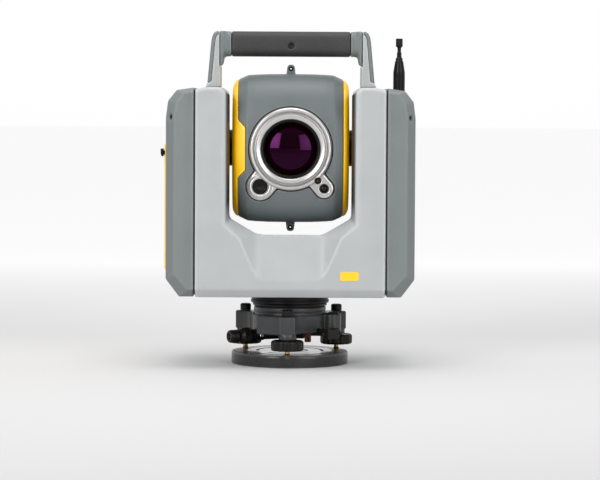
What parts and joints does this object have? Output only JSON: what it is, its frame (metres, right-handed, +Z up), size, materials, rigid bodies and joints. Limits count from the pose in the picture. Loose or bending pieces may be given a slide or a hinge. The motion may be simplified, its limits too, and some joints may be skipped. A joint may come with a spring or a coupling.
{
  "type": "terrestrial laser scanner",
  "caption": "Scanning surveying instrument: a telescope with lens and camera turns between the legs of a U-shaped yoke with carrying handle and antenna, on a levelling base with foot screws.",
  "frame": {"origin": "on the vertical (standing) axis at the underside of the levelling base's plate", "axes": "+Z up along the vertical axis; the lens looks along -Y; +X is to the right seen from the front (the lens side), which is the antenna side"},
  "size_m": [0.2896, 0.1766, 0.381],
  "materials": {
    "silver_paint": "satin silver-grey paint with a fine metallic grain",
    "green_grey_cover": "fine moulded texture, satin",
    "telescope_shell": "fine moulded texture, satin",
    "yellow_plastic": "smooth semi-gloss",
    "charcoal_grip": "soft-touch, fine grain",
    "tribrach_paint": "dark satin paint over a casting",
    "black_plastic": "satin black with a brown tint",
    "satin_silver": "satin, turned",
    "bare_steel": "machined",
    "brass_fittings": "machined",
    "coated_glass": "polished, purple anti-reflection coating",
    "clear_glass": "polished",
    "circuit_board": "solder mask",
    "black_rubber": "matt"
  },
  "bodies": {
    "tribrach": {"tribrach_base_plate": "tribrach_paint", "spring_plate": "bare_steel", "tribrach_body": "tribrach_paint", "footscrew_cap_front": "black_plastic", "footscrew_cap_right": "black_plastic", "footscrew_cap_left": "black_plastic", "level_vial": "clear_glass", "plummet_tube": "black_plastic", "plummet_prism_housing": "brass_fittings", "instrument_foot": "tribrach_paint", "vertical_spindle": "bare_steel", "azimuth_circle": "clear_glass"},
    "front_footscrew": {"footscrew_knob_front": "black_plastic", "footscrew_stem_front": "brass_fittings"},
    "right_footscrew": {"footscrew_knob_right": "black_plastic", "footscrew_stem_right": "brass_fittings"},
    "left_footscrew": {"footscrew_knob_left": "black_plastic", "footscrew_stem_left": "brass_fittings"},
    "lock_lever": {"lock_knob": "tribrach_paint"},
    "clamp_ring": {"locking_ring": "bare_steel"},
    "plummet_focus": {"plummet_focus_ring": "black_plastic"},
    "plummet_ocular": {"plummet_eyepiece": "black_plastic"},
    "alidade": {"alidade_skirt": "black_plastic", "yoke_housing": "silver_paint", "side_cover_left": "green_grey_cover", "side_cover_right": "green_grey_cover", "cover_gasket_left": "black_rubber", "cover_gasket_right": "black_rubber", "handle_arm_left": "silver_paint", "handle_arm_right": "silver_paint", "handle_grip": "charcoal_grip", "handle_collar_left": "green_grey_cover", "handle_collar_right": "green_grey_cover", "antenna": "black_plastic", "antenna_socket": "brass_fittings", "battery": "black_plastic", "main_board": "circuit_board", "trunnion_bearing_left": "bare_steel", "trunnion_bearing_right": "bare_steel", "spindle_bearing": "bare_steel", "azimuth_motor": "brass_fittings", "elevation_motor_stator": "brass_fittings", "data_port": "bare_steel"},
    "door": {"battery_door": "yellow_plastic"},
    "latch": {"door_latch": "black_plastic"},
    "button": {"power_button": "black_plastic"},
    "telescope": {"telescope_front_shell": "telescope_shell", "telescope_rear_shell": "telescope_shell", "side_band_left": "yellow_plastic", "side_band_right": "yellow_plastic", "lens_bezel": "satin_silver", "lens_barrel": "black_plastic", "objective_lens": "coated_glass", "camera_window": "coated_glass", "prism_motor": "bare_steel", "trunnion_journal_left": "black_plastic", "trunnion_journal_right": "black_plastic", "elevation_circle": "clear_glass"},
    "scanning_prism": {"scan_prism": "clear_glass"},
    "focusing_cell": {"focus_lens_cell": "satin_silver"}
  },
  "joints": [
    {"name": "azimuth_turn", "type": "hinge", "parent": "tribrach", "child": "alidade", "pos_m": [0, 0, 0.0665], "axis": [0, 0, 1], "continuous": true},
    {"name": "telescope_turn", "type": "hinge", "parent": "alidade", "child": "telescope", "pos_m": [0, 0, 0.2475], "axis": [1, 0, 0], "continuous": true},
    {"name": "scan_spin", "type": "hinge", "parent": "telescope", "child": "scanning_prism", "pos_m": [0, 0.015, 0.2475], "axis": [0, 1, 0], "continuous": true},
    {"name": "focus_travel", "type": "slide", "parent": "telescope", "child": "focusing_cell", "axis": [0, -1, 0], "range_m": [-0.004, 0.006]},
    {"name": "battery_door_hinge", "type": "hinge", "parent": "alidade", "child": "door", "pos_m": [-0.1434, 0, 0.111], "axis": [0, -1, 0], "range_deg": [0, 95]},
    {"name": "door_latch_slide", "type": "slide", "parent": "door", "child": "latch", "axis": [0, 0, -1], "range_m": [0, 0.005], "stiffness_N_per_m": 300, "springref_m": -0.001},
    {"name": "power_button_press", "type": "slide", "parent": "alidade", "child": "button", "axis": [0, -1, 0], "range_m": [0, 0.001], "stiffness_N_per_m": 900, "springref_m": -0.0008},
    {"name": "front_footscrew_turn", "type": "hinge", "parent": "tribrach", "child": "front_footscrew", "pos_m": [-0.00266, -0.06094, 0.025], "axis": [0, 0, 1], "range_deg": [-1080, 1080]},
    {"name": "right_footscrew_turn", "type": "hinge", "parent": "tribrach", "child": "right_footscrew", "pos_m": [0.05411, 0.02817, 0.025], "axis": [0, 0, 1], "range_deg": [-1080, 1080]},
    {"name": "left_footscrew_turn", "type": "hinge", "parent": "tribrach", "child": "left_footscrew", "pos_m": [-0.05145, 0.03277, 0.025], "axis": [0, 0, 1], "range_deg": [-1080, 1080]},
    {"name": "lock_lever_turn", "type": "hinge", "parent": "tribrach", "child": "lock_lever", "pos_m": [0.04829, -0.04015, 0.039], "axis": [0.7716, -0.6361, 0], "range_deg": [0, 180]},
    {"name": "clamp_ring_turn", "type": "hinge", "parent": "tribrach", "child": "clamp_ring", "pos_m": [0, 0, 0.042], "axis": [0, 0, 1], "range_deg": [0, 20]},
    {"name": "plummet_focus_turn", "type": "hinge", "parent": "tribrach", "child": "plummet_focus", "pos_m": [0, 0, 0.033], "axis": [-0.887, -0.4617, 0], "range_deg": [-120, 120]},
    {"name": "plummet_ocular_turn", "type": "hinge", "parent": "tribrach", "child": "plummet_ocular", "pos_m": [0, 0, 0.033], "axis": [-0.887, -0.4617, 0], "range_deg": [-120, 120]}
  ],
  "couplings": [
    {"joint": "clamp_ring_turn", "follows": "lock_lever_turn", "ratio": 0.11111}
  ]
}
